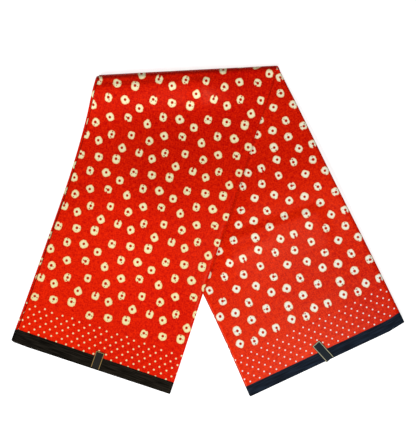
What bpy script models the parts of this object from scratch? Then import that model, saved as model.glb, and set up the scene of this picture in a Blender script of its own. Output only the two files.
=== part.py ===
# Wax print cloth, laid out flat.
#
# A two-yard length of cotton cloth is folded back and forth into a strip of six
# layers, one third of a yard wide. The strip is as long as the cloth is wide, so a
# black selvage crosses each of its ends. The strip is turned over once on a slanting
# line near its middle, and its two legs lie fanned out on the floor, the left leg on
# top of the right one where they cross. A small flat label is fixed on each selvage.
#
# Metres, +Z up. The floor is Z = 0, and the origin is the middle of the cloth's plan.
# The strip is made flat and then laid out. Flat, its x runs across it from the left
# edge to the right edge, with 0 in the middle, its y along it from the left selvage
# to the right one, and its z from the face that ends up on top of the left leg to
# the face that ends up on top of the right leg.

import bpy
import bmesh
import math
from mathutils import Matrix, Vector

# Driving dimensions of the cloth
CLOTH_WIDTH = 1.174          # selvage to selvage, the length of the strip
STRIP_WIDTH = 0.305          # one third of a yard
LAYER = 0.0010               # thickness of one layer
LAYER_GAP = 0.0004           # air between two layers

# The turn in the middle of the strip
TURN_CENTRE = (-0.0290, 0.2865)     # where the strip's middle line meets the turn
TURN_TILT = math.radians(3.1)       # the turn's slant, from +X
LEG_LEAN = math.radians(22.0)       # each leg, from square to the turn
TURN_ALONG = 0.5915                 # from the left selvage to the turn
TURN_INSIDE = 0.0030                # the turn's inner radius
SWELL_REACH = 0.065                 # how far from the turn the stack lies flat again

# The left leg over the right one
LEG_GAP = 0.0020
LEG_CLEAR = 0.010                   # how far past the right leg's edge it stays level
LEG_SLOPE = 0.060                   # the stretch in which it comes down to the floor

# The two labels
LABEL_WIDTH = 0.0166
LABEL_THICKNESS = 0.0005
LABEL_GAP = 0.0003
LABEL_LIP = 0.0012                  # turned down over the edge of the top layer
LEFT_LABEL_LENGTH = 0.0310
LEFT_LABEL_ACROSS = 0.0080          # its middle, from the strip's middle
RIGHT_LABEL_LENGTH = 0.0395
RIGHT_LABEL_ACROSS = -0.0011
RIGHT_LABEL_FROM_END = 0.0189       # its middle, from the right end of the strip
RIGHT_LABEL_TURN = math.radians(-16.5)

# Steps of the mesh in each stretch
STEPS_ACROSS = 8
STEPS_ROUND_EDGE = 4
STEPS_LEFT_LEG = 18
STEPS_TURN = 8
STEPS_RIGHT_LEG = 6
CROWDING = 1.3               # how much closer the steps of a leg lie near the turn
LEFT_END_SLANT = 0.03        # the left selvage, out of square by this part of the lean

# The back-and-forth section, from the free edge on top of the left leg to the free
# edge on top of the right leg. Each row is a free edge or the fold of two layers, and
# how far it lies inside the strip's edge at each end of the strip.
FOLD_ROWS = (
    # strip edge, inset at the left selvage, inset at the right selvage
    ("left", 0.0065, 0.0080),
    ("right", 0.0000, 0.0045),
    ("left", 0.0000, 0.0020),
    ("right", 0.0030, 0.0000),
    ("left", 0.0040, 0.0000),
    ("right", 0.0015, 0.0070),
    ("left", 0.0030, 0.0010),
)

# How far the selvages of each layer lie short of the strip's ends, in the same order
LAYER_ROWS = (
    # left selvage, right selvage
    (0.0035, 0.0040),
    (0.0000, 0.0035),
    (0.0018, 0.0070),
    (0.0035, 0.0062),
    (0.0022, 0.0000),
    (0.0030, 0.0012),
)

# The strip's unevenness: how far its two edges lie to the right of straight lines
EDGE_ROWS = (
    # from the left selvage, left edge, right edge
    (0.000, 0.0030, 0.0085),
    (0.080, 0.0046, 0.0078),
    (0.200, 0.0060, 0.0058),
    (0.330, 0.0062, 0.0052),
    (0.430, 0.0014, 0.0040),
    (0.500, -0.0050, 0.0032),
    (0.560, -0.0046, 0.0030),
    (0.630, -0.0038, 0.0002),
    (0.730, -0.0025, 0.0028),
    (0.870, -0.0015, 0.0046),
    (1.030, 0.0007, 0.0090),
    (1.174, -0.0014, 0.0112),
)

LAYERS = len(LAYER_ROWS)
PITCH = LAYER + LAYER_GAP
STACK = LAYERS * LAYER + (LAYERS - 1) * LAYER_GAP
TURN_MIDDLE = TURN_INSIDE + STACK / 2
TURN_ARC = math.pi * TURN_MIDDLE

# Directions in plan: along the turn, away from the legs, and across the right leg
TURN_LINE = Vector((math.cos(TURN_TILT), math.sin(TURN_TILT)))
AWAY = Vector((-math.sin(TURN_TILT), math.cos(TURN_TILT)))
RIGHT_LEG_ACROSS = TURN_LINE * math.cos(LEG_LEAN) + AWAY * math.sin(LEG_LEAN)


def ease(x):
    """0 below 0, 1 above 1, and a smooth step between."""
    x = min(max(x, 0.0), 1.0)
    return x * x * (3.0 - 2.0 * x)


def mix(a, b, t):
    return a + (b - a) * t


def slope(rows, index, column):
    """The slope of a table's smooth curve at one of its rows."""
    low = rows[max(index - 1, 0)]
    high = rows[min(index + 1, len(rows) - 1)]
    return (high[column] - low[column]) / (high[0] - low[0])


def read_smoothly(rows, at, column):
    """Read a column of a table on a smooth curve through its rows."""
    at = min(max(at, rows[0][0]), rows[-1][0])
    index = 0
    while index < len(rows) - 2 and at > rows[index + 1][0]:
        index += 1
    low, high = rows[index], rows[index + 1]
    span = high[0] - low[0]
    t = (at - low[0]) / span
    return (mix(low[column], high[column], ease(t))
            + span * t * (1 - t) ** 2 * slope(rows, index, column)
            - span * t * t * (1 - t) * slope(rows, index + 1, column))


def uneven_across(across, along):
    """Move a point of the straight strip to where its uneven edges carry it."""
    left_shift = read_smoothly(EDGE_ROWS, along, 1)
    right_shift = read_smoothly(EDGE_ROWS, along, 2)
    return across + mix(left_shift, right_shift, across / STRIP_WIDTH + 0.5)


def left_leg_underside(plan, from_turn):
    """Height of the left leg's lower face, over the right leg or down on the floor."""
    inside = (plan - Vector(TURN_CENTRE)).dot(RIGHT_LEG_ACROSS) + STRIP_WIDTH / 2
    over = ease((inside + LEG_CLEAR + LEG_SLOPE) / LEG_SLOPE)
    swell = 1.0 - ease(from_turn / SWELL_REACH)
    return mix((STACK + LEG_GAP) * over, STACK + 2 * TURN_INSIDE, swell)


def lay(flat):
    """Where a point of the flat strip comes to lie."""
    across = uneven_across(flat.x, flat.y)
    up = TURN_ALONG - flat.y
    beyond = up * math.cos(LEG_LEAN) + across * math.sin(LEG_LEAN)
    sideways = across * math.cos(LEG_LEAN) - up * math.sin(LEG_LEAN)
    out = beyond
    z = flat.z
    if 0 < beyond < TURN_ARC:
        radius = STACK + TURN_INSIDE - flat.z
        out = radius * math.sin(beyond / TURN_MIDDLE)
        z = STACK + TURN_INSIDE - radius * math.cos(beyond / TURN_MIDDLE)
    elif beyond >= TURN_ARC:
        out = TURN_ARC - beyond
    plan = Vector(TURN_CENTRE) + TURN_LINE * sideways + AWAY * out
    if beyond >= TURN_ARC:
        z = left_leg_underside(plan, -out) + STACK - flat.z
    return Vector((plan.x, plan.y, z))


def middle_line(along):
    """The zigzag's middle line: rows of x, z and the direction square to it."""
    half = STRIP_WIDTH / 2
    bend = PITCH / 2
    edges = []
    for edge, left_inset, right_inset in FOLD_ROWS:
        inset = mix(left_inset, right_inset, along / CLOTH_WIDTH)
        edges.append(half - inset if edge == "right" else inset - half)
    rows = []
    for layer in range(LAYERS):
        z = LAYER / 2 + layer * PITCH
        side = 1 if FOLD_ROWS[layer + 1][0] == "right" else -1
        start = edges[layer]
        if layer > 0:
            start += side * (bend + LAYER / 2)
        end = edges[layer + 1]
        if layer < LAYERS - 1:
            end -= side * (bend + LAYER / 2)
        for step in range(STEPS_ACROSS + 1):
            rows.append((mix(start, end, step / STEPS_ACROSS), z, 0.0, -side))
        if layer == LAYERS - 1:
            break
        for step in range(1, STEPS_ROUND_EDGE):
            angle = math.pi * step / STEPS_ROUND_EDGE
            x = end + side * bend * math.sin(angle)
            rows.append((x, z + bend * (1 - math.cos(angle)),
                         math.sin(angle), -side * math.cos(angle)))
    return rows


def stations():
    """Rows of y in the strip's middle and slant: level at the ends, with the turn inside."""
    left_end = TURN_ALONG - TURN_ARC / math.cos(LEG_LEAN)
    rows = []
    for step in range(STEPS_LEFT_LEG):
        near = 1 - (1 - step / STEPS_LEFT_LEG) ** CROWDING
        rows.append((left_end * near, mix(LEFT_END_SLANT, 1.0, near)))
    for step in range(STEPS_TURN + 1):
        rows.append((mix(left_end, TURN_ALONG, step / STEPS_TURN), 1.0))
    for step in range(1, STEPS_RIGHT_LEG + 1):
        far = (step / STEPS_RIGHT_LEG) ** CROWDING
        rows.append((mix(TURN_ALONG, CLOTH_WIDTH, far), 1 - far))
    return rows


def selvage_inset(z, column):
    """How far a selvage lies short of the strip's end at a height in the stack."""
    z = min(max(z, 0.0), STACK)
    layer = min(int(z / PITCH), LAYERS - 1)
    into_gap = (z - layer * PITCH - LAYER) / LAYER_GAP
    above = min(layer + 1, LAYERS - 1)
    return mix(LAYER_ROWS[layer][column], LAYER_ROWS[above][column], min(max(into_gap, 0.0), 1.0))


def section_points(along):
    """The two sides of the band, as pairs of points along its middle line."""
    for x, z, square_x, square_z in middle_line(along):
        offset = Vector((square_x, 0.0, square_z)) * (LAYER / 2)
        yield Vector((x, 0.0, z)) + offset
        yield Vector((x, 0.0, z)) - offset


def flat_strip():
    """The six layers as one straight zigzag band, in steps along the stations."""
    rows = stations()
    bm = bmesh.new()
    order = bm.verts.layers.int.new("order")
    verts = [bm.verts.new(point) for point in section_points(0.0)]
    for index, vert in enumerate(verts):
        vert[order] = index
    faces = [bm.faces.new((verts[index], verts[index + 1], verts[index + 3], verts[index + 2]))
             for index in range(0, len(verts) - 2, 2)]
    for station, (middle, slant) in enumerate(rows):
        if station > 0:
            extruded = bmesh.ops.extrude_face_region(bm, geom=faces)["geom"]
            if station > 1:
                bmesh.ops.delete(bm, geom=faces, context="FACES")
            verts = [item for item in extruded if isinstance(item, bmesh.types.BMVert)]
            faces = [item for item in extruded if isinstance(item, bmesh.types.BMFace)]
        points = list(section_points(middle))
        for vert in verts:
            vert.co = points[vert[order]]
            vert.co.y = middle + slant * vert.co.x * math.tan(LEG_LEAN)
            if station == 0:
                vert.co.y += selvage_inset(vert.co.z, 0)
            if station == len(rows) - 1:
                vert.co.y -= selvage_inset(vert.co.z, 1)
    return bm


def finish(bm, name, colour, roughness):
    """Lay a flat solid out, and make it an object with its own material."""
    for vert in bm.verts:
        vert.co = lay(vert.co)
    bmesh.ops.recalc_face_normals(bm, faces=bm.faces)
    bmesh.ops.triangulate(bm, faces=bm.faces)
    if bm.calc_volume(signed=True) < 0:
        bmesh.ops.reverse_faces(bm, faces=bm.faces)
    mesh = bpy.data.meshes.new(name)
    bm.to_mesh(mesh)
    bm.free()
    material = bpy.data.materials.new(name)
    material.use_nodes = True
    shader = material.node_tree.nodes["Principled BSDF"]
    shader.inputs["Base Color"].default_value = (*colour, 1.0)
    shader.inputs["Roughness"].default_value = roughness
    shader.inputs["Metallic"].default_value = 0.0
    material.diffuse_color = (*colour, 1.0)
    mesh.materials.append(material)
    piece = bpy.data.objects.new(name, mesh)
    bpy.context.scene.collection.objects.link(piece)
    return piece


def block(low, high):
    """A flat-sided block between two corners."""
    bm = bmesh.new()
    size = [h - l for l, h in zip(low, high)]
    centre = [(l + h) / 2 for l, h in zip(low, high)]
    place = Matrix.Translation(centre) @ Matrix.Diagonal((*size, 1.0))
    bmesh.ops.create_cube(bm, size=1.0, matrix=place)
    return bm


def left_label():
    """A flat label on the left selvage, its end turned down over the cloth's edge."""
    half = LABEL_WIDTH / 2
    bend = LAYER_ROWS[0][0] - LABEL_GAP
    bm = block((LEFT_LABEL_ACROSS - half, bend - LABEL_THICKNESS, -LABEL_GAP - LABEL_THICKNESS),
               (LEFT_LABEL_ACROSS + half, bend + LEFT_LABEL_LENGTH, -LABEL_GAP))
    bmesh.ops.bisect_plane(bm, geom=bm.verts[:] + bm.edges[:] + bm.faces[:],
                           plane_co=(0, bend, 0), plane_no=(0, 1, 0))
    lip = [face for face in bm.faces
           if face.normal.z > 0.5 and face.calc_center_median().y < bend]
    extruded = bmesh.ops.extrude_face_region(bm, geom=lip)["geom"]
    bmesh.ops.delete(bm, geom=lip, context="FACES_ONLY")
    bmesh.ops.translate(bm, vec=(0, 0, LABEL_LIP),
                        verts=[item for item in extruded if isinstance(item, bmesh.types.BMVert)])
    return bm


def right_label():
    """A flat label on the right selvage, turned, with one end past the cloth's edge."""
    low = STACK + LABEL_GAP
    bm = block((-LABEL_WIDTH / 2, -RIGHT_LABEL_LENGTH / 2, low),
               (LABEL_WIDTH / 2, RIGHT_LABEL_LENGTH / 2, low + LABEL_THICKNESS))
    bmesh.ops.rotate(bm, verts=bm.verts, matrix=Matrix.Rotation(RIGHT_LABEL_TURN, 3, "Z"))
    bmesh.ops.translate(bm, verts=bm.verts,
                        vec=(RIGHT_LABEL_ACROSS, CLOTH_WIDTH - RIGHT_LABEL_FROM_END, 0))
    return bm


for old in list(bpy.data.objects):
    bpy.data.objects.remove(old, do_unlink=True)

finish(flat_strip(), "cloth", colour=(0.70, 0.03, 0.01), roughness=0.75)
finish(left_label(), "label_left", colour=(0.02, 0.02, 0.02), roughness=0.45)
finish(right_label(), "label_right", colour=(0.02, 0.02, 0.02), roughness=0.45)
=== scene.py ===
import math

import bmesh
import bpy
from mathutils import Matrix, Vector, noise


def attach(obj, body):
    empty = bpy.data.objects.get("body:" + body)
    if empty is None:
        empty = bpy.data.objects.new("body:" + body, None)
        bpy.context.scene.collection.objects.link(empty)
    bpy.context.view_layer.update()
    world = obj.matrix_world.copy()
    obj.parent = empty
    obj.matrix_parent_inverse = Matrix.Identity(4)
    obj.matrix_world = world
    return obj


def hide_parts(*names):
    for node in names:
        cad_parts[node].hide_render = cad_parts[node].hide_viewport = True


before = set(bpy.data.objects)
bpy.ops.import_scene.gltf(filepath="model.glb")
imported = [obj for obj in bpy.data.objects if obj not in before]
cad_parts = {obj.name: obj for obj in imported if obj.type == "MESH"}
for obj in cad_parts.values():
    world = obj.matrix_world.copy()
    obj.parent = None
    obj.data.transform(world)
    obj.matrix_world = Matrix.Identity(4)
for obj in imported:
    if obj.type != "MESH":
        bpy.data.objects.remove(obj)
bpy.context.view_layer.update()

# Wax print cloth, folded back and forth into a strip of six layers. The strip is turned
# over a slanting line, and its two legs lie fanned out, the left one over the right one.
# Metres, +Z up, floor at 0. Flat, the strip's x runs across it, y along it from the left
# selvage, and z from the face on top of the left leg to the face on top of the right leg.

strip = {
    "length": 1.174,              # selvage to selvage
    "width": 0.305,
    "stack": 0.008,               # height of the six layers
    "layers": 6,
    "sheet": 0.00045,             # the cloth's own thickness
    "turnCentre": Vector((-0.0290, 0.2865)),
    "turnTilt": math.radians(3.1),
    "lean": math.radians(22.0),   # each leg, from square to the turn
    "turnAlong": 0.5915,          # from the left selvage to the turn
    "turnInside": 0.0030,         # the turn's own radius, inside the stack
    "swellReach": 0.065,          # how far from the turn the stack is swollen
    "legGap": 0.0020,             # between the two legs where they cross
    "legClear": 0.010,            # how far past the right leg the left one stays raised
    "legSlope": 0.150,            # the stretch in which the left leg comes down to the floor
    "pressed": 0.0065,            # how much flatter the turn is at its right end
    "pressedFrom": 0.010,
    "pressedOver": 0.100,
    "rounded": 0.36,              # share of the stack's height lost at its folded edges
    "roundedOver": 0.0065,
    "leftEndSlant": 0.03,         # slant of the sheet's first row, 1 along the turn
    "crowding": 1.3,              # rows lie closer together towards the turn
    "insetReach": 0.16,           # over which a layer's own end eases into the strip
    # how short and how wide the cut corners are, at the left and the right selvage
    "corners": ((0.0030, 0.009), (0.0035, 0.030)),
    # edge of the strip, inset at the left selvage, inset at the right selvage
    "folds": (
        ("left", 0.0048, 0.0062),
        ("right", 0.0000, 0.0010),
        ("left", 0.0000, 0.0020),
        ("right", 0.0030, 0.0010),
        ("left", 0.0040, 0.0000),
        ("right", 0.0025, 0.0000),
        ("left", 0.0030, 0.0010),
    ),
    # how far each layer's left and right selvage lie short of the strip's ends
    "ends": (
        (0.0035, 0.0040),
        (0.0000, 0.0035),
        (0.0018, 0.0070),
        (0.0035, 0.0062),
        (0.0022, 0.0000),
        (0.0030, 0.0012),
    ),
    # from the left selvage, how far the left edge and the right edge lie to the right
    "edges": (
        (0.000, 0.0030, 0.0085),
        (0.080, 0.0046, 0.0078),
        (0.200, 0.0060, 0.0058),
        (0.330, 0.0062, 0.0052),
        (0.430, 0.0014, 0.0040),
        (0.500, -0.0050, 0.0032),
        (0.560, -0.0046, 0.0030),
        (0.630, -0.0038, 0.0002),
        (0.730, -0.0025, 0.0028),
        (0.870, -0.0015, 0.0046),
        (1.030, 0.0007, 0.0090),
        (1.174, -0.0014, 0.0112),
    ),
}
strip["turnMiddle"] = strip["turnInside"] + strip["stack"] / 2
strip["turnArc"] = math.pi * strip["turnMiddle"]
strip["pitch"] = (strip["stack"] - strip["sheet"]) / (strip["layers"] - 1)
strip["turnLine"] = Vector((math.cos(strip["turnTilt"]), math.sin(strip["turnTilt"])))
strip["away"] = Vector((-math.sin(strip["turnTilt"]), math.cos(strip["turnTilt"])))
strip["rightLegAcross"] = (strip["turnLine"] * math.cos(strip["lean"])
                           + strip["away"] * math.sin(strip["lean"]))
strip["leftLegAcross"] = (strip["turnLine"] * math.cos(strip["lean"])
                          - strip["away"] * math.sin(strip["lean"]))


def ease(x):
    x = min(max(x, 0.0), 1.0)
    return x * x * (3.0 - 2.0 * x)


def mix(a, b, t):
    return a + (b - a) * t


def slopeAt(rows, index, column):
    low = rows[max(index - 1, 0)]
    high = rows[min(index + 1, len(rows) - 1)]
    return (high[column] - low[column]) / (high[0] - low[0])


def readSmoothly(rows, at, column):
    # a column of a table, on a smooth curve through its rows
    at = min(max(at, rows[0][0]), rows[-1][0])
    index = 0
    while index < len(rows) - 2 and at > rows[index + 1][0]:
        index += 1
    low, high = rows[index], rows[index + 1]
    span = high[0] - low[0]
    t = (at - low[0]) / span
    return (mix(low[column], high[column], ease(t))
            + span * t * (1 - t) ** 2 * slopeAt(rows, index, column)
            - span * t * t * (1 - t) * slopeAt(rows, index + 1, column))


def unevenAcross(across, along):
    leftShift = readSmoothly(strip["edges"], along, 1)
    rightShift = readSmoothly(strip["edges"], along, 2)
    return across + mix(leftShift, rightShift, across / strip["width"] + 0.5)


def legUnderside(plan, fromTurn):
    # height of the left leg's lower face, over the right leg or down on the floor
    inside = (plan - strip["turnCentre"]).dot(strip["rightLegAcross"]) + strip["width"] / 2
    over = ease((inside + strip["legClear"] + strip["legSlope"]) / strip["legSlope"])
    swell = 1.0 - ease(fromTurn / strip["swellReach"])
    return mix((strip["stack"] + strip["legGap"]) * over,
               strip["stack"] + 2 * strip["turnInside"], swell)


# Soft troughs and ridges of the top faces, on straight lines in plan
relief = {
    "left": (
        # x, y at one end, x, y at the other, width on its left side and right side, height
        (-0.300, 0.170, 0.160, 0.250, 0.040, 0.060, -0.0040),
        (-0.330, 0.030, 0.120, 0.060, 0.075, 0.120, 0.0056),
        (-0.280, 0.262, 0.020, 0.277, 0.014, 0.030, 0.0022),
        (-0.040, 0.254, 0.220, 0.262, 0.030, 0.050, 0.0020),
        (-0.190, 0.043, -0.025, -0.015, 0.008, 0.008, -0.0006),
        (-0.268, 0.101, -0.180, 0.076, 0.006, 0.006, -0.0006),
        (-0.268, 0.064, -0.190, 0.042, 0.006, 0.006, -0.0006),
    ),
    "right": (
        (-0.030, 0.038, 0.330, 0.144, 0.090, 0.090, 0.0055),
        (0.010, -0.026, 0.225, 0.046, 0.007, 0.070, 0.0024),
        (0.000, -0.072, 0.131, -0.004, 0.007, 0.010, 0.0006),
    ),
    "endFade": 0.030,
    "turnFade": 0.014,
    "uncovered": 0.018,           # how far beside the left leg the right leg's relief eases in
    "ridgePower": 3.5,            # the lower layers rise much less than the top one
}


def reliefAt(plan, leg):
    total = 0.0
    if leg == "right":
        outside = (plan - strip["turnCentre"]).dot(strip["leftLegAcross"]) - strip["width"] / 2
        if outside < 0:
            return total
    for x0, y0, x1, y1, leftWidth, rightWidth, height in relief[leg]:
        start = Vector((x0, y0))
        run = Vector((x1, y1)) - start
        along = (plan - start).dot(run) / run.length
        beside = (plan - start).dot(Vector((-run.y, run.x))) / run.length
        fade = ease(along / relief["endFade"]) * ease((run.length - along) / relief["endFade"])
        width = leftWidth if beside > 0 else rightWidth
        total += height * fade * math.exp(-(beside / width) ** 2)
    if leg == "right":
        total *= ease(outside / relief["uncovered"])
    return total


def reliefShare(height, share):
    # the relief's part at a share of the stack: a ridge lifts the top layers most
    return height * (max(share, 0.0) ** relief["ridgePower"] if height > 0 else share)


def roundedEdge(flat, under):
    # the height in the stack, pressed towards its under side close to the folded edges
    near = max(1 - (strip["width"] / 2 - abs(flat.x)) / strip["roundedOver"], 0.0)
    lost = strip["rounded"] * (1 - math.sqrt(1 - min(near, 1.0) ** 2))
    return under + (flat.z - under) * (1 - lost)


def layFlat(flat):
    # where a point of the flat strip comes to lie
    across = unevenAcross(flat.x, flat.y)
    up = strip["turnAlong"] - flat.y
    lean = strip["lean"]
    beyond = up * math.cos(lean) + across * math.sin(lean)
    sideways = across * math.cos(lean) - up * math.sin(lean)
    out = beyond
    z = roundedEdge(flat, strip["stack"] * min(max(beyond / strip["turnArc"], 0.0), 1.0))
    if 0 < beyond < strip["turnArc"]:
        radius = strip["stack"] + strip["turnInside"] - z
        out = radius * math.sin(beyond / strip["turnMiddle"])
        z = (strip["stack"] + strip["turnInside"]
             - radius * math.cos(beyond / strip["turnMiddle"]))
    elif beyond >= strip["turnArc"]:
        out = strip["turnArc"] - beyond
    plan = strip["turnCentre"] + strip["turnLine"] * sideways + strip["away"] * out
    share = flat.z / strip["stack"]
    if beyond >= strip["turnArc"]:
        z = (legUnderside(plan, -out) + strip["stack"] - z
             + reliefShare(reliefAt(plan, "left"), 1 - share) * ease(-out / relief["turnFade"]))
    elif beyond <= 0:
        z += reliefShare(reliefAt(plan, "right"), share)
    pressed = (strip["pressed"] * ease((sideways - strip["pressedFrom"]) / strip["pressedOver"])
               * (1 - ease(abs(min(out, 0.0)) / strip["swellReach"])))
    z *= 1 - pressed / (2 * (strip["stack"] + strip["turnInside"]))
    return Vector((plan.x, plan.y, z))


# The cloth is one sheet from its cut end on top of the left leg to its cut end on top of
# the right leg. Its own u runs along its length and its v from the left selvage.
cloth = {
    "flatLength": 1.83,
    "finePanel": 60,              # steps across the two layers that show
    "hiddenPanel": 13,
    "fineEdge": (0.0012, 0.0027, 0.0046, 0.0072),   # the first steps, from a folded edge
    "hiddenEdge": (0.0046,),
    "bendSteps": 6,
    "leftLegSteps": 112,
    "turnSteps": 12,
    "rightLegSteps": 114,
    "turnEase": 0.0158,           # extra cloth taken up by the turn
    "turnFrom": -0.004,           # where that begins, and over how much
    "turnOver": 0.022,
    "takenUp": (0.0115, -0.0149, -0.0149, -0.0149),   # own length of the hidden layers
    "widthEase": 1.011,           # the print's own length for each length across
    "legMiddles": (0.15, 1.66),   # u in the middle of the left and the right leg's top face
    "legReach": 0.16,
    # from the left selvage, how far the print has wandered across and along, and how much
    # it is stretched across and skewed along
    "grain": (
        (0.000, -0.0030, 0.0000, 0.000, 0.000),
        (0.090, -0.0037, -0.0001, 0.000, -0.003),
        (0.150, -0.0026, -0.0014, 0.000, -0.005),
        (0.210, -0.0011, -0.0021, 0.003, -0.005),
        (0.270, 0.0006, -0.0030, 0.006, -0.004),
        (0.330, 0.0022, -0.0022, 0.013, 0.000),
        (0.390, 0.0037, -0.0020, 0.013, 0.004),
        (0.450, 0.0037, -0.0008, 0.011, 0.011),
        (0.510, 0.0057, -0.0020, 0.013, 0.012),
        (0.570, 0.0074, -0.0030, 0.012, 0.008),
        (0.640, 0.0058, -0.0014, 0.034, -0.006),
        (0.720, 0.0055, -0.0020, 0.040, -0.009),
        (0.784, 0.0056, -0.0014, 0.044, -0.009),
        (0.904, 0.0063, 0.0007, 0.051, -0.009),
        (1.000, 0.0058, 0.0003, 0.049, -0.009),
        (1.024, 0.0056, -0.0011, 0.045, -0.009),
        (1.056, 0.0058, -0.0028, 0.044, -0.008),
        (1.085, 0.0060, -0.0044, 0.044, -0.006),
        (1.174, 0.0063, -0.0044, 0.043, 0.000),
    ),
    "waver": 0.0002,              # unevenness of each hidden layer's height
    "waverScale": 14,
    "waverStep": 3.7,
}


def panelShares(steps, width, edgeSteps):
    # steps across a layer, closer together at its two folded edges
    close = [size / width for size in edgeSteps]
    inner = steps - 2 * len(close)
    middle = [close[-1] + (1 - 2 * close[-1]) * step / inner for step in range(1, inner)]
    return [0.0, *close, *middle, *(1 - size for size in reversed(close)), 1.0]


def zigzagColumns():
    # columns of the sheet across the strip: layer, share of its width, bend angle, own u
    columns = []
    u = 0.0
    folds = strip["folds"]
    for layer in range(strip["layers"]):
        shown = layer in (0, strip["layers"] - 1)
        steps = cloth["finePanel"] if shown else cloth["hiddenPanel"]
        edgeSteps = cloth["fineEdge"] if shown else cloth["hiddenEdge"]
        width = strip["width"] - folds[layer][1] - folds[layer + 1][1]
        if not shown:
            width += cloth["takenUp"][layer - 1]
        for share in panelShares(steps, width, edgeSteps):
            columns.append((layer, share, 0.0, u + width * share))
        u += width
        if layer < strip["layers"] - 1:
            for step in range(1, cloth["bendSteps"]):
                angle = math.pi * step / cloth["bendSteps"]
                columns.append((layer, 1.0, angle, u + strip["pitch"] / 2 * angle))
            u += strip["pitch"] / 2 * math.pi
    return columns


cloth["ownLength"] = zigzagColumns()[-1][3]


def zigzagPoint(column, along):
    # place in the flat strip's section: x across and z up through the layers
    layer, share, angle, u = column
    half = strip["width"] / 2
    bend = strip["pitch"] / 2
    edges = []
    for side, leftInset, rightInset in strip["folds"][layer:layer + 2]:
        inset = mix(leftInset, rightInset, along / strip["length"])
        edges.append(half - inset if side == "right" else inset - half)
    toward = 1 if edges[1] > edges[0] else -1
    start, end = edges
    if layer > 0:
        start += toward * (bend + strip["sheet"] / 2)
    if layer < strip["layers"] - 1:
        end -= toward * (bend + strip["sheet"] / 2)
    z = strip["sheet"] / 2 + layer * strip["pitch"]
    if angle:
        return end + toward * bend * math.sin(angle), z + bend * (1 - math.cos(angle))
    return mix(start, end, share), z


def alongRows():
    # rows of the sheet along the strip: y in its middle, and slant
    leftEnd = strip["turnAlong"] - strip["turnArc"] / math.cos(strip["lean"])
    rows = []
    for step in range(cloth["leftLegSteps"]):
        near = 1 - (1 - step / cloth["leftLegSteps"]) ** strip["crowding"]
        rows.append((leftEnd * near, mix(strip["leftEndSlant"], 1.0, near)))
    for step in range(cloth["turnSteps"] + 1):
        rows.append((mix(leftEnd, strip["turnAlong"], step / cloth["turnSteps"]), 1.0))
    for step in range(1, cloth["rightLegSteps"] + 1):
        far = (step / cloth["rightLegSteps"]) ** strip["crowding"]
        rows.append((mix(strip["turnAlong"], strip["length"], far), 1 - far))
    return rows


def layerEnds(column, across, along):
    # the shift along the strip that a layer's own short ends and its cut corners give
    layer, share, angle, u = column
    half = strip["width"] / 2
    (leftShort, leftWide), (rightShort, rightWide) = strip["corners"]
    above = min(layer + 1, strip["layers"] - 1)
    part = angle / math.pi
    left = mix(strip["ends"][layer][0], strip["ends"][above][0], part)
    right = mix(strip["ends"][layer][1], strip["ends"][above][1], part)
    left += leftShort * ease((leftWide - half - across) / leftWide)
    right += rightShort * ease((across - half + rightWide) / rightWide)
    reach = strip["insetReach"]
    return (left * (1 - ease(along / reach))
            - right * (1 - ease((strip["length"] - along) / reach)))


def printPlace(u, across, along):
    # where the print has a point of the cloth
    beyond = ((strip["turnAlong"] - along) * math.cos(strip["lean"])
              + across * math.sin(strip["lean"]))
    turned = 1 - ease((beyond - cloth["turnFrom"]) / cloth["turnOver"])
    fromMiddle = u - mix(*cloth["legMiddles"], turned)
    fromMiddle = min(max(fromMiddle, -cloth["legReach"]), cloth["legReach"])
    sideways, lengthwise, stretch, skew = (readSmoothly(cloth["grain"], along, column)
                                           for column in (1, 2, 3, 4))
    return (u * cloth["widthEase"] + sideways + stretch * fromMiddle,
            along + cloth["turnEase"] * turned + lengthwise + skew * fromMiddle)


def buildCloth():
    columns = zigzagColumns()
    rows = alongRows()
    bm = bmesh.new()
    printLayer = bm.loops.layers.uv.new("printPlace")
    edgeLayer = bm.loops.layers.uv.new("edgePlace")
    bmesh.ops.create_grid(bm, x_segments=len(columns) - 1, y_segments=len(rows) - 1, size=0.5)
    printed = {}
    fromEdge = {}
    for vert in bm.verts:
        column = columns[round((vert.co.x + 0.5) * (len(columns) - 1))]
        middle, slant = rows[round((vert.co.y + 0.5) * (len(rows) - 1))]
        x, z = zigzagPoint(column, middle)
        along = middle + slant * x * math.tan(strip["lean"])
        printed[vert.index] = printPlace(column[3], x, along)
        fromEdge[vert.index] = (column[3], along)
        scale = cloth["waverScale"]
        waver = noise.noise(Vector((x * scale, along * scale, column[0] * cloth["waverStep"])))
        inside = min(max(z / strip["stack"], 0.0), 1.0)
        z += waver * cloth["waver"] * min(inside, 1 - inside) * 4
        vert.co = layFlat(Vector((x, along + layerEnds(column, x, along), z)))
    for face in bm.faces:
        face.smooth = True
        for loop in face.loops:
            loop[printLayer].uv = printed[loop.vert.index]
            loop[edgeLayer].uv = fromEdge[loop.vert.index]
    for edge in bm.edges:
        edge.smooth = not edge.is_boundary
    return addPiece(bm, "wax_print_cloth")


def addPiece(bm, name):
    # the mesh as an object at the origin
    mesh = bpy.data.meshes.new(name)
    bm.to_mesh(mesh)
    bm.free()
    piece = bpy.data.objects.new(name, mesh)
    bpy.context.scene.collection.objects.link(piece)
    return piece


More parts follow.
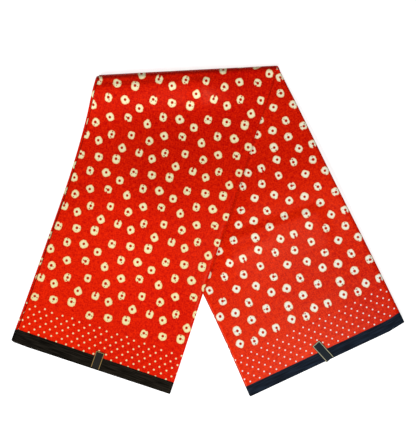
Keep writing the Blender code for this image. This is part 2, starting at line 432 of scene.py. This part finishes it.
class Wire:
    # a node's output, with arithmetic that adds Math nodes
    def __init__(self, socket):
        self.socket = socket
        self.tree = socket.id_data

    def node(self, kind, settings, sockets, out=0):
        # a new node: its settings, then the values or the wires of its inputs
        made = self.tree.nodes.new(kind)
        for name, value in settings.items():
            setattr(made, name, value)
        for name, value in sockets.items():
            if isinstance(value, Wire):
                self.tree.links.new(made.inputs[name], value.socket)
            else:
                made.inputs[name].default_value = value
        return Wire(made.outputs[out])

    def math(self, operation, *others, clamp=False):
        return self.node("ShaderNodeMath", {"operation": operation, "use_clamp": clamp},
                         dict(enumerate((self, *others))))

    def vector(self, operation, *others):
        return self.node("ShaderNodeVectorMath", {"operation": operation},
                         dict(enumerate((self, *others))), 1 if operation == "LENGTH" else 0)

    def __add__(self, other):
        return self.math("ADD", other)

    def __sub__(self, other):
        return self.math("SUBTRACT", other)

    def __rsub__(self, other):
        return self.node("ShaderNodeMath", {"operation": "SUBTRACT"}, {0: other, 1: self})

    def __mul__(self, other):
        return self.math("MULTIPLY", other)

    def __truediv__(self, other):
        return self.math("DIVIDE", other)

    def __lt__(self, other):
        return self.math("LESS_THAN", other)

    def __gt__(self, other):
        return self.math("GREATER_THAN", other)

    def __abs__(self):
        return self.math("ABSOLUTE")

    __radd__ = __add__
    __rmul__ = __mul__

    def parts(self):
        split = self.node("ShaderNodeSeparateXYZ", {}, {0: self})
        return [Wire(socket) for socket in split.socket.node.outputs]

    def below(self, limit, soft):
        # 1 where the value is under the limit, with a soft edge
        return (limit - self).math("MULTIPLY_ADD", 1 / soft, 0.5, clamp=True)

    def ramp(self, start, end):
        # 0 at the start and 1 at the end
        return self.math("MULTIPLY_ADD", 1 / (end - start), start / (start - end), clamp=True)

    def blend(self, first, second):
        # two vectors, mixed by this factor
        return self.node("ShaderNodeMix", {"data_type": "VECTOR"},
                         {0: self, 4: first, 5: second}, 1)

    def paint(self, under, over):
        # two colours, mixed by this factor
        return self.node("ShaderNodeMix", {"data_type": "RGBA"},
                         {0: self, 6: under, 7: over}, 2)

    def feed(self, shader, name):
        self.tree.links.new(shader.inputs[name], self.socket)


def newFinish(name):
    # a material and its shader
    material = bpy.data.materials.new(name)
    material.use_nodes = True
    return material, material.node_tree.nodes["Principled BSDF"]


def placeIn(material, coordinate):
    return Wire(material.node_tree.nodes.new("ShaderNodeTexCoord").outputs[coordinate])


def noiseAt(place, scale, detail=2.0):
    # about 0.5 on the whole; a scale for each direction stretches it
    if isinstance(scale, tuple):
        place = place.vector("MULTIPLY", scale)
        scale = 1.0
    return place.node("ShaderNodeTexNoise", {},
                      {"Vector": place, "Scale": scale, "Detail": detail})


def weaveHeight(x, y, thread):
    # crossing threads, between -1 and 1
    turns = 2 * math.pi / thread
    return (x * turns).math("SINE") * (y * turns).math("SINE")


def raised(height, strength):
    return height.node("ShaderNodeBump", {},
                       {"Height": height, "Strength": strength, "Distance": 1.0})


def lengthOf(x, y):
    return (x * x + y * y).math("SQRT")


# The print lies on the cloth's own u and v, in metres. Near is at the left selvage and far at
# the right one, and v runs from near to far.
printing = {
    "farEdge": 1.1854,
    "selvageWidth": (0.0215, 0.0195),      # near, far
    "selvageSoft": 0.0006,
    "ragged": 0.0012,              # how far the selvages' edges wander
    "raggedScale": 140.0,
    "cutEdgeShadow": 0.0010,             # painted shadow: the dark line along the two cut ends

    "repeat": (0.1070, 0.1375),
    "phase": (-0.0065, 0.0),       # where the repeat starts
    "field": (0.0820, 0.0735),     # near and far, how close ring middles come to the edge
    # one ring, by its place in the chart, sits further in close to the far selvage
    "shiftedRing": 5,
    "shiftedBy": 0.0109,
    "shiftedWithin": 0.105,
    "corner": 2.6,                 # how square a ring is, 2 for a round one
    "pointPower": 9.0,             # how narrow its point is
    # where they end and how softly, in shares of the ring's half size
    "ringEdge": (0.885, 0.08),
    "innerEdge": (0.755, 0.30),
    "outlineEdge": (1.105, 0.24),
    "wobbleScale": 260.0,
    "edgeWobble": 0.24,
    "seedSteps": (0.37, 0.61, 1.7),        # no two rings of a repeat are uneven alike
    "slitWobble": 0.0012,
    "slitSoft": 0.0008,
    "slitRise": 1200.0,            # how fast a slit opens past its inner end
    "eyeWobble": 0.0010,
    "eyeSoft": 0.0006,
    "bledSoft": 0.0026,
    "bledShare": 0.75,
    "fleckWobble": 0.0016,
    "fleckSoft": 0.0008,
    "fleckShare": 0.9,

    # u and v of the three dots in each row's repeat
    "dots": ((0.0, -0.0010), (0.0203, 0.0002), (0.0390, 0.0013)),
    "dotRadius": (0.0016, 0.0013),         # near, far
    "dotSoft": 0.0010,
    "dotRepeat": 0.0535,
    "dotStep": (0.0080, 0.00843),  # from one row of dots to the next
    "dotRows": 7,
    "dotStart": 0.0224,            # the first row's middle, from the selvage
    "dotPhase": (-0.0026, -0.0027),        # near, far
    "farShort": 0.0010,            # how much further in the far rows are
}

# One repeat's rings, in millimetres: the middle, the width and height, how far the square is
# turned, the side and size of its point (or dent), the inner end and half width of its slit,
# and the middle and radius of the eye and of two flecks
noSlit = (0.0, 20.0, 0.0)
ringChart = (
    (12.2, 90.3, 15.6, 17.0, 0, 215, 0.05,
     (1.3, 5.6, 1.4), (-0.8, 1.2, 2.44), (4.0, 0.0, 1.2), (-3.4, -3.0, 0.9)),
    (46.5, 97.0, 17.8, 15.6, 0, 270, 0.16,
     noSlit, (0.0, 0.8, 2.54), (5.6, 1.3, 0.9), (0.0, -4.2, 0.8)),
    (79.8, 103.7, 17.4, 18.2, 0, 275, 0.14,
     noSlit, (-0.5, 0.0, 2.54), (-1.5, 6.0, 1.5), (4.2, -0.4, 1.0)),
    (11.5, 128.4, 15.6, 17.0, 0, 215, 0.04,
     (-0.3, 3.4, 2.0), (-1.0, 0.2, 2.33), (-1.0, 3.4, 1.2), (2.6, -2.6, 0.6)),
    (38.0, 125.7, 15.4, 16.2, 40, 266, 0.16,
     noSlit, (-1.0, -0.3, 2.44), (3.9, 3.0, 0.4), (3.0, -4.0, 0.4)),
    (58.3, 143.7, 15.0, 17.6, 0, 354, -0.16,
     (2.2, -5.0, 1.5), (0.3, 0.2, 2.54), (0.5, 5.6, 1.4), (-0.4, -4.9, 1.4)),
    (85.1, 125.8, 15.6, 16.6, 42, 95, 0.18,
     noSlit, (-1.0, 0.8, 2.44), (2.0, 4.6, 0.4), (-3.0, -3.0, 0.3)),
    (23.1, 155.5, 14.6, 17.6, -12, 354, 0.20,
     noSlit, (-0.6, 0.0, 2.76), (3.4, -1.0, 1.0), (-1.0, -5.6, 1.1)),
    (94.9, 154.7, 15.0, 16.6, 0, 0, -0.14,
     noSlit, (0.0, 0.0, 2.65), (-4.2, 1.3, 0.6), (0.0, -5.0, 0.6)),
    (48.0, 173.7, 15.8, 16.4, 38, 188, 0.14,
     noSlit, (-1.0, -0.9, 2.44), (-3.0, 2.0, 0.3), (4.0, 2.0, 0.3)),
    (80.9, 183.4, 16.2, 15.6, 0, 320, 0.06,
     (-1.3, -4.4, 1.6), (0.3, -0.9, 2.65), (-3.6, 0.1, 1.4), (3.0, 3.2, 0.9)),
    (11.5, 183.5, 15.8, 16.2, 30, 96, 0.22,
     (2.8, 6.4, 0.9), (0.6, 0.4, 2.33), (2.6, 5.8, 0.7), (-4.0, 0.0, 0.3)),
    (37.3, 205.1, 15.2, 17.2, 0, 10, 0.04,
     noSlit, (-0.4, 0.5, 2.65), (-1.0, 5.8, 1.2), (2.0, -3.4, 1.2)),
    (67.9, 211.2, 16.6, 17.2, 40, 0, 0.16,
     noSlit, (0.3, 0.5, 2.44), (0.3, 5.0, 0.3), (3.4, -3.4, 0.4)),
    (97.4, 205.8, 15.8, 16.2, 8, 20, 0.06,
     noSlit, (-0.2, -0.6, 2.54), (-3.0, 3.0, 0.3), (3.0, 3.0, 0.3)),
)


def nearestRing(place):
    # how far the nearest ring's middle is, the place from there, and that ring's own values
    repeat = (*printing["repeat"], 2.0)
    high = [size / 2 for size in repeat]
    low = [-size / 2 for size in repeat]
    phaseU, phaseV = printing["phase"]
    nearFar = place.parts()[1] > printing["farEdge"] - printing["shiftedWithin"]
    shifted = place.node("ShaderNodeCombineXYZ", {}, {1: nearFar * printing["shiftedBy"]})
    for index, ring in enumerate(ringChart):
        ringU, ringV, width, height, turned, side, point, *tables = ring
        offset = place.vector("SUBTRACT", (ringU / 1000 + phaseU, ringV / 1000 + phaseV, 0.0))
        if index == printing["shiftedRing"]:
            offset = offset.vector("ADD", shifted)
        offset = offset.vector("WRAP", high, low)
        distance = offset.vector("LENGTH")
        side = math.radians(side)
        values = [
            offset,
            (2000 / width, 2000 / height, math.radians(-turned)),
            (math.cos(side), math.sin(side), point),
            *([size / 1000 for size in table] for table in tables),
            [index * step for step in printing["seedSteps"]],
        ]
        if index == 0:
            nearest, kept = distance, values
        else:
            closer = distance < nearest
            nearest = nearest.math("MINIMUM", distance)
            kept = [closer.blend(old, new) for old, new in zip(kept, values)]
    return nearest, kept


def spotPrint(x, y, table, soft):
    # a round spot, its middle and radius a ring's own values
    spotX, spotY, radius = table.parts()
    return lengthOf(x - spotX, y - spotY).below(radius, soft)


def ringPrint(place):
    # how much there is, at a place on the cloth, of a ring, of the deeper red around it, of
    # the red that has bled into it, of its eye and of its flecks
    distance, (offset, form, pointed, slit, eye, fleckA, fleckB, seed) = nearestRing(place)
    x, y = offset.parts()[:2]
    wobble = noiseAt(offset.vector("ADD", seed), printing["wobbleScale"], 1.0) - 0.5

    widthScale, heightScale, turn = form.parts()
    turned = offset.node("ShaderNodeVectorRotate", {"rotation_type": "Z_AXIS"},
                         {"Vector": offset, "Angle": turn})
    across, up = turned.parts()[:2]
    corner = printing["corner"]
    across = abs(across * widthScale).math("POWER", corner)
    up = abs(up * heightScale).math("POWER", corner)
    pointX, pointY, point = pointed.parts()
    toPoint = ((x * pointX + y * pointY) / (distance + 0.0001)).math("MAXIMUM", 0.0)
    point = point * toPoint.math("POWER", printing["pointPower"])
    edge = (across + up).math("POWER", 1 / corner) - point + wobble * printing["edgeWobble"]

    slitX, slitY, slitHalf = slit.parts()
    slitLength = lengthOf(slitX, slitY)
    beside = abs(x * slitY - y * slitX) / slitLength + wobble * printing["slitWobble"]
    past = (x * slitX + y * slitY) / slitLength - slitLength
    cut = (beside.below(slitHalf, printing["slitSoft"])
           * past.math("MULTIPLY", printing["slitRise"], clamp=True))

    middleV = place.parts()[1] - y
    nearField, farField = printing["field"]
    inField = (middleV > nearField) * (middleV < printing["farEdge"] - farField)
    ring = edge.below(*printing["ringEdge"]) * inField * (1 - cut)
    outline = edge.below(*printing["outlineEdge"]) * inField
    uneven = y + wobble * printing["fleckWobble"]
    fleck = spotPrint(x, uneven, fleckA, printing["fleckSoft"])
    fleck = fleck.math("MAXIMUM", spotPrint(x, uneven, fleckB, printing["fleckSoft"]))
    aroundEye = spotPrint(x, y, eye, printing["bledSoft"])
    bled = 1 - edge.below(*printing["innerEdge"]) * (1 - aroundEye)
    eye = spotPrint(x + wobble * printing["eyeWobble"], y, eye, printing["eyeSoft"])
    return ring, outline, bled * printing["bledShare"], eye, fleck * printing["fleckShare"]


def dotPrint(place):
    # the rows of small dots beside the two selvages
    u, v = place.parts()[:2]
    far = v > printing["farEdge"] / 2
    fromSelvage = v.math("MINIMUM", printing["farEdge"] - printing["farShort"] - v)
    fromFirst = fromSelvage - printing["dotStart"]
    stepU, stepV = printing["dotStep"]
    row = (fromFirst / stepV).math("ROUND")
    nearPhase, farPhase = printing["dotPhase"]
    alongRow = u - nearPhase - far * (farPhase - nearPhase) - row * stepU
    besideRow = fromFirst - row * stepV
    half = printing["dotRepeat"] / 2
    distances = [lengthOf((alongRow - dotU).math("WRAP", half, -half), besideRow - dotV)
                 for dotU, dotV in printing["dots"]]
    nearest = distances[0].math("MINIMUM", distances[1]).math("MINIMUM", distances[2])
    nearRadius, farRadius = printing["dotRadius"]
    dot = (nearest + far * (nearRadius - farRadius)).below(nearRadius, printing["dotSoft"])
    return dot * (row < printing["dotRows"] - 0.5) * (row > -0.5)


# the print's dyes, with painted light: painted shade in the red, painted sheen in the far half's red,
# in the cream and in the far selvage
dyesAndPaintedLight = {
    "ground": (0.735, 0.0155, 0.0005, 1.0),
    # painted sheen: a more orange red on the far half, for the sheen on the right leg
    "paintedSheenGround": (0.735, 0.0235, 0.0005, 1.0),
    "deepGround": (0.445, 0.0000, 0.0003, 1.0),
    "deep": 0.66,                  # painted shade: how deep the red is at its deepest v, by the turn
    "deepestV": 0.60,
    "fade": 0.72,                  # how much less deep that painted shade is for each metre from there
    "clouds": 0.4,
    "cloudScale": 9.0,
    "outline": 0.15,
    "threads": 1.8,                # how much the single threads differ
    "threadScales": ((130.0, 560.0, 1.0), (560.0, 130.0, 1.0)),
    # painted shade, darker at the lower right of both legs: from u to u, from v to v, and how much
    "paintedShadePatches": (
        (0.06, 0.27, 0.23, 0.11, 0.26),
        (1.70, 1.56, 0.95, 1.07, 0.32),
    ),
    # the cream at the near selvage, halfway and at the far one: lighter halfway, by the turn, is
    # painted light against the dimmer light there, and whiter and bluer at the far one is painted
    # sheen
    "creamsAndPaintedLight": (
        (0.700, 0.650, 0.340, 1.0),
        (0.850, 0.800, 0.530, 1.0),
        (0.725, 0.775, 0.745, 1.0),
    ),
    "bled": (0.720, 0.340, 0.045, 1.0),
    "fleck": (0.290, 0.040, 0.010, 1.0),
    "eye": (0.430, 0.009, 0.0003, 1.0),
    # painted shadow along the two cut ends
    "cutEdgeShadow": (0.150, 0.0008, 0.0003, 1.0),
    "nearSelvage": ((0.0002, 0.0003, 0.0008, 1.0), (0.0130, 0.0105, 0.0085, 1.0)),
    # painted sheen: the far selvage's black is tinted navy, for the cool sheen on the right leg
    "farSelvage": ((0.0000, 0.0034, 0.0110, 1.0), (0.0070, 0.0160, 0.0330, 1.0)),
    "streaks": (30.0, 520.0, 1.0),         # the worn lines along the selvages
    "streakGain": 4.0,
    "streakShare": 0.35,
}


def redGround(place, outline):
    # the red, uneven by cloud and by thread, with painted shade: darkest by the turn and darker at
    # the lower right of both legs
    u, v = place.parts()[:2]
    cloud = noiseAt(place, dyesAndPaintedLight["cloudScale"], 3.0)
    alongThread, acrossThread = (noiseAt(place, scale, 1.0) for scale in dyesAndPaintedLight["threadScales"])
    # painted shade, darkest at v 0.60 by the turn, with random cloud and the print's deeper red
    # around the rings
    deep = (dyesAndPaintedLight["deep"] - abs(v - dyesAndPaintedLight["deepestV"]) * dyesAndPaintedLight["fade"]
            + (cloud - 0.5) * dyesAndPaintedLight["clouds"] + outline * dyesAndPaintedLight["outline"])
    # painted shade at the lower right of both legs
    for startU, endU, startV, endV, share in dyesAndPaintedLight["paintedShadePatches"]:
        deep = deep + u.ramp(startU, endU) * v.ramp(startV, endV) * share
    deep = deep.math("ADD", (alongThread + acrossThread - 1.0) * dyesAndPaintedLight["threads"], clamp=True)
    # painted sheen: the red grows more orange over the far half
    farHalf = v / (printing["farEdge"] / 2) - 1.0
    ground = farHalf.paint(dyesAndPaintedLight["ground"], dyesAndPaintedLight["paintedSheenGround"])
    return deep.paint(ground, dyesAndPaintedLight["deepGround"])


def clothColour(place, nearSelvage, farSelvage):
    ring, outline, bled, eye, fleck = ringPrint(place)
    # painted light: the cream is lighter halfway, and painted sheen: whiter and bluer towards the far
    # selvage
    halfway = place.parts()[1] / (printing["farEdge"] / 2)
    nearCream, middleCream, farCream = dyesAndPaintedLight["creamsAndPaintedLight"]
    cream = halfway.paint(nearCream, middleCream)
    cream = (halfway - 1.0).paint(cream, farCream)
    marked = bled.paint(cream, dyesAndPaintedLight["bled"])
    marked = fleck.paint(marked, dyesAndPaintedLight["fleck"])
    marked = eye.paint(marked, dyesAndPaintedLight["eye"])
    colour = ring.paint(redGround(place, outline), marked)
    colour = dotPrint(place).paint(colour, cream)
    # painted shadow along the two cut ends, where the top layers' edges lie over the layers below
    fromEdge = place.node("ShaderNodeUVMap", {"uv_map": "edgePlace"}, {}).parts()[0]
    fromEdge = fromEdge.math("MINIMUM", cloth["ownLength"] - fromEdge)
    cutEdgeShadow = fromEdge.below(printing["cutEdgeShadow"], printing["selvageSoft"])
    colour = cutEdgeShadow.paint(colour, dyesAndPaintedLight["cutEdgeShadow"])
    streaks = noiseAt(place, dyesAndPaintedLight["streaks"]) - 0.5
    streaks = streaks.math("MULTIPLY_ADD", dyesAndPaintedLight["streakGain"], dyesAndPaintedLight["streakShare"], clamp=True)
    colour = nearSelvage.paint(colour, streaks.paint(*dyesAndPaintedLight["nearSelvage"]))
    # the far selvage's navy tint is painted sheen
    return farSelvage.paint(colour, streaks.paint(*dyesAndPaintedLight["farSelvage"]))


cottonSurface = {
    "roughness": 0.27,
    "nearRougher": 0.03,          # how much rougher the selvages are
    "farRougher": 0.48,
    "ior": 1.22,
    "sheen": (1.0, 0.80, 0.44, 1.0),
    "thread": 0.00042,
    "threadHeight": 0.000006,
    "swellScale": 22.0,
    "swellHeight": 0.0006,
    "drawnScale": (9.0, 75.0, 1.0),
    "drawnHeight": 0.0005,
    "bump": 0.5,
}


def printedCotton():
    material, shader = newFinish("printed_cotton")
    place = placeIn(material, "UV")
    u, v = place.parts()[:2]
    ragged = (noiseAt(place, printing["raggedScale"]) - 0.5) * printing["ragged"]
    nearWidth, farWidth = printing["selvageWidth"]
    nearSelvage = (v + ragged).below(nearWidth, printing["selvageSoft"])
    farSelvage = (printing["farEdge"] - v + ragged).below(farWidth, printing["selvageSoft"])
    clothColour(place, nearSelvage, farSelvage).feed(shader, "Base Color")
    roughness = (cottonSurface["roughness"] + nearSelvage * cottonSurface["nearRougher"]
                 + farSelvage * cottonSurface["farRougher"])
    roughness.feed(shader, "Roughness")
    shader.inputs["IOR"].default_value = cottonSurface["ior"]
    shader.inputs["Specular Tint"].default_value = cottonSurface["sheen"]
    height = (weaveHeight(u, v, cottonSurface["thread"]) * cottonSurface["threadHeight"]
              + noiseAt(place, cottonSurface["swellScale"]) * cottonSurface["swellHeight"]
              + noiseAt(place, cottonSurface["drawnScale"]) * cottonSurface["drawnHeight"])
    raised(height, cottonSurface["bump"]).feed(shader, "Normal")
    return material


def dressCloth(piece):
    thick = piece.modifiers.new("thickness", "SOLIDIFY")
    thick.thickness = strip["sheet"]
    thick.offset = 0.0
    piece.data.materials.append(printedCotton())
    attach(piece, "root")
    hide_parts("cloth")


labels = {
    "width": 0.0166,
    # node, length, its middle across and along in the flat strip, turned, ground, thread
    "places": (
        ("label_left", 0.0310, 0.0080, 0.0187, 0.0,
         (0.0085, 0.0075, 0.0055, 1.0), (0.300, 0.190, 0.055, 1.0)),
        ("label_right", 0.0395, -0.0011, 1.1551, -16.5,
         (0.0035, 0.0085, 0.0130, 1.0), (0.420, 0.400, 0.250, 1.0)),
    ),
    "line": 0.0010,
    "lineInset": 0.0005,
    "lineSoft": 0.0002,
    "headingReach": 0.01,
    "roughness": 0.42,
    "specular": 0.15,
    "thread": 0.0006,
    "threadHeight": 0.00002,
    "bump": 0.6,
}


def labelFinish(node, length, across, along, turned, ground, thread):
    material, shader = newFinish(node + "_finish")
    height = 0.0 if node == "label_left" else strip["stack"]
    turn = math.radians(turned)
    middle = layFlat(Vector((across, along, height)))
    reach = labels["headingReach"]
    ahead = layFlat(Vector((across - math.sin(turn) * reach, along + math.cos(turn) * reach, height)))
    heading = math.atan2(ahead.y - middle.y, ahead.x - middle.x) - math.pi / 2
    place = placeIn(material, "Object")
    place = place.node("ShaderNodeMapping", {"vector_type": "TEXTURE"},
                       {"Vector": place, "Location": middle, "Rotation": (0.0, 0.0, heading)})
    x, y = place.parts()[:2]
    fromSide = labels["width"] / 2 - abs(x)
    fromEnd = (length / 2 - y) if node == "label_left" else (length / 2 + y)
    fromLine = fromSide.math("MINIMUM", fromEnd) - labels["lineInset"] - labels["line"] / 2
    line = abs(fromLine).below(labels["line"] / 2, labels["lineSoft"])
    line.paint(ground, thread).feed(shader, "Base Color")
    shader.inputs["Roughness"].default_value = labels["roughness"]
    shader.inputs["Specular IOR Level"].default_value = labels["specular"]
    height = weaveHeight(x, y, labels["thread"]) * labels["threadHeight"]
    raised(height, labels["bump"]).feed(shader, "Normal")
    return material


def dressLabels():
    for label in labels["places"]:
        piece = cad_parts[label[0]]
        piece.data.materials.clear()
        piece.data.materials.append(labelFinish(*label))


studio = {
    "floorSize": 6.0,
    "floorDrop": 0.0001,
    "floorColour": (0.45, 0.45, 0.45, 1.0),
    "floorRoughness": 0.9,
    "floorGlow": 0.84,
    "world": 0.12,
    "cameraCentre": (0.0012, 0.0159),
    "cameraHeight": 2.5,          # above the cloth
    "clothHeight": 0.008,
    "frameHeight": 0.8219,        # what the picture's height takes in at the cloth
    "sensor": 36.0,
    # place, size and power of each lamp
    "lamps": (
        ((-0.85, -6.00, 3.22), 1.9, 590.0),
        ((-3.00, -2.90, 5.00), 1.1, 165.0),
        ((0.45, -0.56, 2.40), 0.40, 7.5),
    ),
}


def buildFloor():
    bm = bmesh.new()
    bmesh.ops.create_grid(bm, x_segments=1, y_segments=1, size=studio["floorSize"] / 2)
    bmesh.ops.translate(bm, verts=bm.verts, vec=(0, 0, -studio["floorDrop"]))
    floor = addPiece(bm, "floor")
    material, shader = newFinish("floor_paint")
    shader.inputs["Base Color"].default_value = studio["floorColour"]
    shader.inputs["Roughness"].default_value = studio["floorRoughness"]
    shader.inputs["Emission Color"].default_value = (1.0, 1.0, 1.0, 1.0)
    shader.inputs["Emission Strength"].default_value = studio["floorGlow"]
    floor.data.materials.append(material)


def lightStudio():
    world = bpy.data.worlds.new("studio")
    world.use_nodes = True
    background = world.node_tree.nodes["Background"]
    background.inputs["Color"].default_value = (1.0, 1.0, 1.0, 1.0)
    background.inputs["Strength"].default_value = studio["world"]
    bpy.context.scene.world = world
    for index, (place, size, power) in enumerate(studio["lamps"]):
        lamp = bpy.data.lights.new(f"lamp{index}", "AREA")
        lamp.size = size
        lamp.energy = power
        holder = bpy.data.objects.new(f"lamp{index}", lamp)
        holder.location = place
        holder.rotation_euler = (-Vector(place)).to_track_quat("-Z", "Y").to_euler()
        bpy.context.scene.collection.objects.link(holder)


def placeCamera():
    lens = bpy.data.cameras.new("camera")
    lens.sensor_width = studio["sensor"]
    lens.lens = studio["sensor"] * studio["cameraHeight"] / studio["frameHeight"]
    lens.clip_start = 0.05
    camera = bpy.data.objects.new("camera", lens)
    camera.location = (*studio["cameraCentre"], studio["cameraHeight"] + studio["clothHeight"])
    bpy.context.scene.collection.objects.link(camera)
    bpy.context.scene.camera = camera
    bpy.context.scene.view_settings.view_transform = "Standard"


placeCamera()
lightStudio()
buildFloor()
print("studio ready")
sheet = buildCloth()
dressCloth(sheet)
print("cloth laid")
dressLabels()
print("labels dressed")
